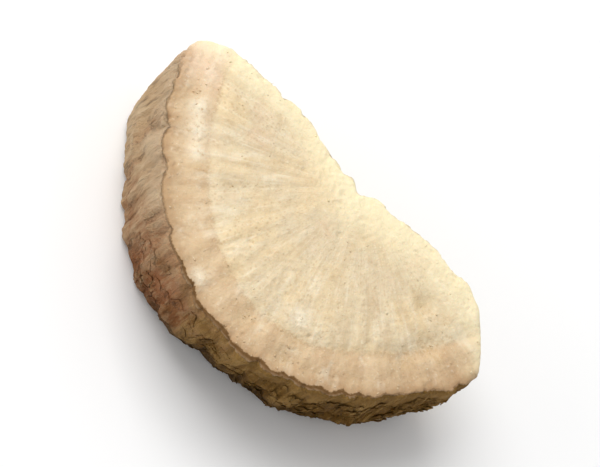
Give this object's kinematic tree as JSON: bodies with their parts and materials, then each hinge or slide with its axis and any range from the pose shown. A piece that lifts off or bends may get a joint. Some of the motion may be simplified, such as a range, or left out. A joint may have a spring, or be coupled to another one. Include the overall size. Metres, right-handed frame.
{
  "type": "white peony root slice",
  "caption": "Dried half-round chip of root: flat pale cut face with a darker ring and fine rays, split straight along one side, with wrinkled brown bark round the other.",
  "frame": {"origin": "the middle of the lower knife cut, on the surface that the chip rests on", "axes": "+X along the split, towards the blunt chopped tip; +Y out of the split side, with the bark facing -Y; +Z along the root, out of the upper cut face"},
  "size_m": [0.012, 0.0066, 0.0038],
  "materials": {
    "root": "matt, dry and starchy cream tissue with fine rays and fibres, under a thin wrinkled brown bark"
  },
  "bodies": {
    "root": {"root_slice": "root"}
  },
  "joints": []
}
